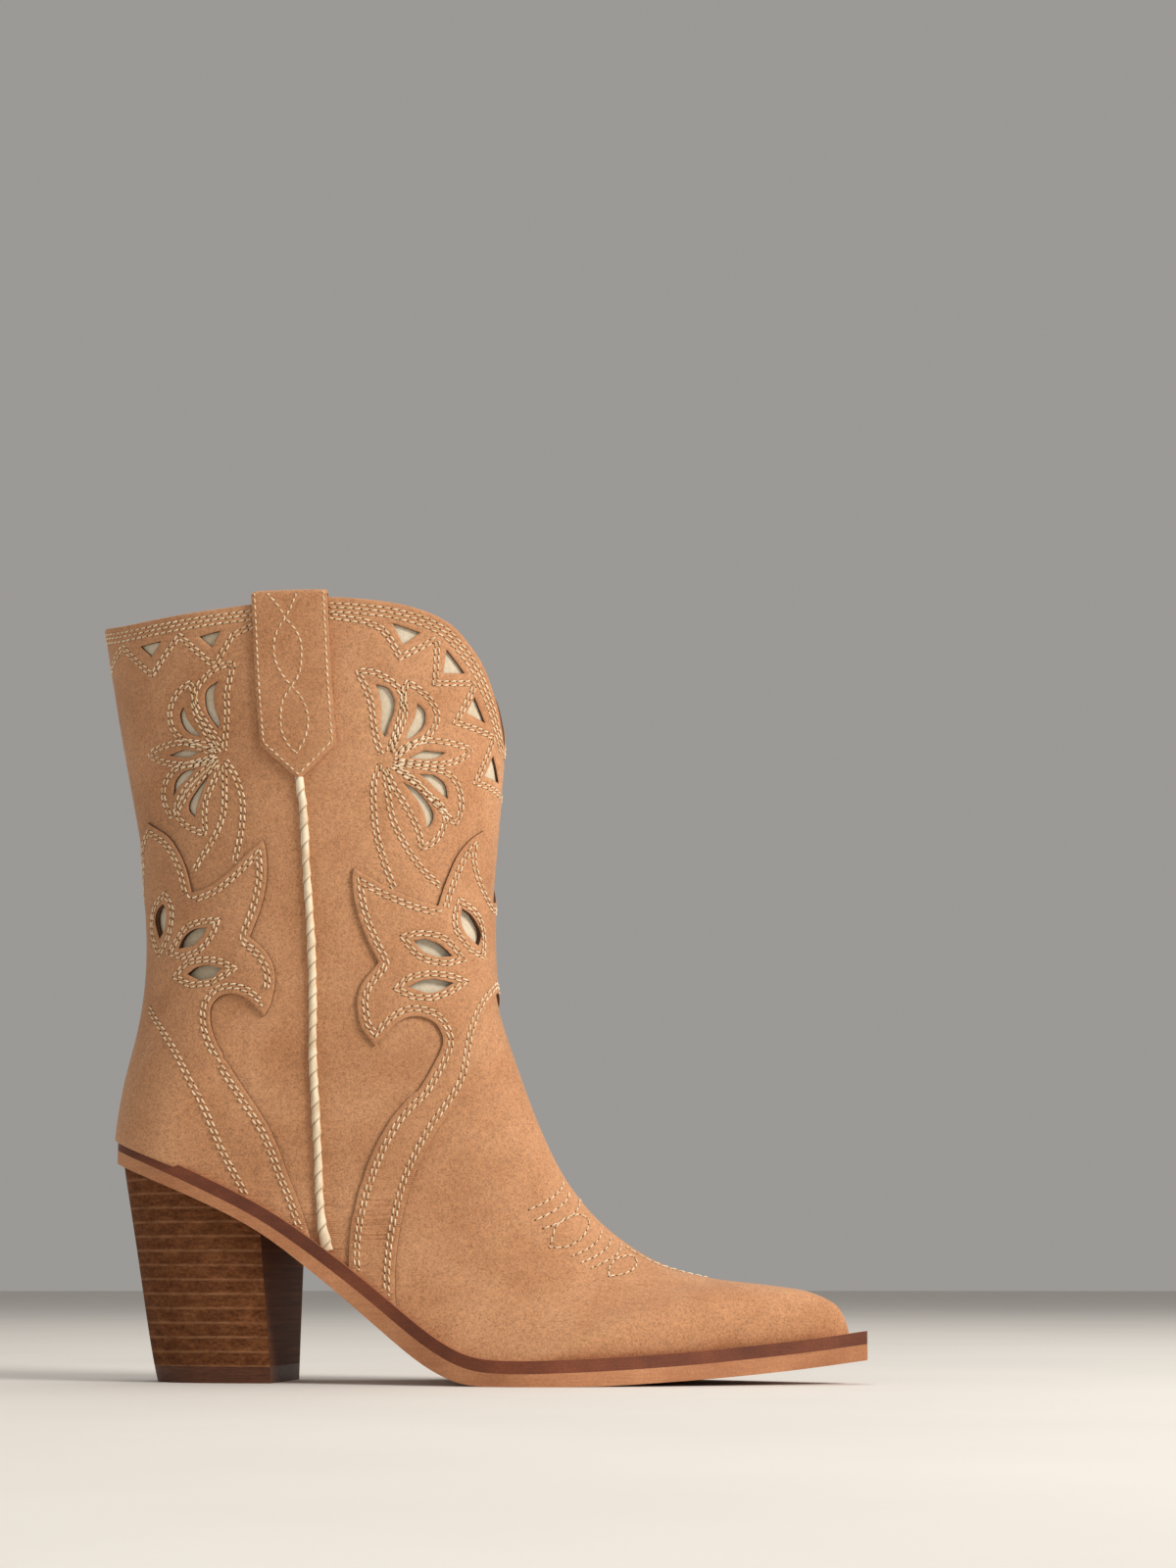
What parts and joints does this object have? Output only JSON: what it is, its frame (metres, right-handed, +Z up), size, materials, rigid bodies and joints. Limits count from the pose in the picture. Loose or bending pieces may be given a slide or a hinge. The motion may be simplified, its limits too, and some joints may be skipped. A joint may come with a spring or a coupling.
{
  "type": "cowboy boot",
  "caption": "Right-foot cowboy boot in tan leather with cut-out windows, stitched overlays, pull straps and an 80 mm stacked heel.",
  "frame": {"origin": "centre of the bounding box's footprint, on the ground", "axes": "+Z up, +X to the toe, -Y to the outer (lateral) side of this right boot"},
  "size_m": [0.2743, 0.0886, 0.2742],
  "materials": {
    "upper_leather": "nubuck, fine speckled grain, matt",
    "inlay_leather": "smooth cream skin, matt",
    "lining_leather": "pigskin lining, matt",
    "piping_leather": "cream cord wrapped with a diagonal strip",
    "stiffener": "fibre board, matt",
    "welt_leather": "reddish brown, semi-matt edge",
    "outsole_leather": "light tan edge, fine texture",
    "heel_stack": "rough stacked layers with light joint lines",
    "top_piece_rubber": "dark brown rubber",
    "cork": "cork sheet",
    "sock_leather": "smooth sock liner",
    "cushion_foam": "foam cushion",
    "steel": "plain steel"
  },
  "bodies": {
    "root": {"vamp": "upper_leather", "front_shaft_panel": "upper_leather", "back_shaft_panel": "upper_leather", "front_wing_overlay": "upper_leather", "heel_foxing_overlay": "upper_leather", "front_inlay": "inlay_leather", "back_inlay": "inlay_leather", "heel_counter": "stiffener", "toe_puff": "stiffener", "vamp_interlining": "stiffener", "vamp_lining": "lining_leather", "shaft_lining_front": "lining_leather", "shaft_lining_back": "lining_leather", "pull_strap_lateral": "upper_leather", "pull_strap_medial": "upper_leather", "side_piping_lateral": "piping_leather", "side_piping_medial": "piping_leather", "welt": "welt_leather", "outsole": "outsole_leather", "shank": "steel", "shank_rivets": "steel", "bottom_filler": "cork", "insole_board": "stiffener", "heel_cushion": "cushion_foam", "sock_liner": "sock_leather", "heel_nails": "steel", "heel_screw": "steel", "heel_top_piece": "top_piece_rubber", "top_piece_nails": "steel", "heel_lift_01": "heel_stack", "heel_lift_02": "heel_stack", "heel_lift_03": "heel_stack", "heel_lift_04": "heel_stack", "heel_lift_05": "heel_stack", "heel_lift_06": "heel_stack", "heel_lift_07": "heel_stack", "heel_lift_08": "heel_stack", "heel_lift_09": "heel_stack", "heel_lift_10": "heel_stack", "heel_lift_11": "heel_stack", "heel_lift_12": "heel_stack", "heel_lift_13": "heel_stack", "heel_lift_14": "heel_stack"}
  },
  "joints": []
}
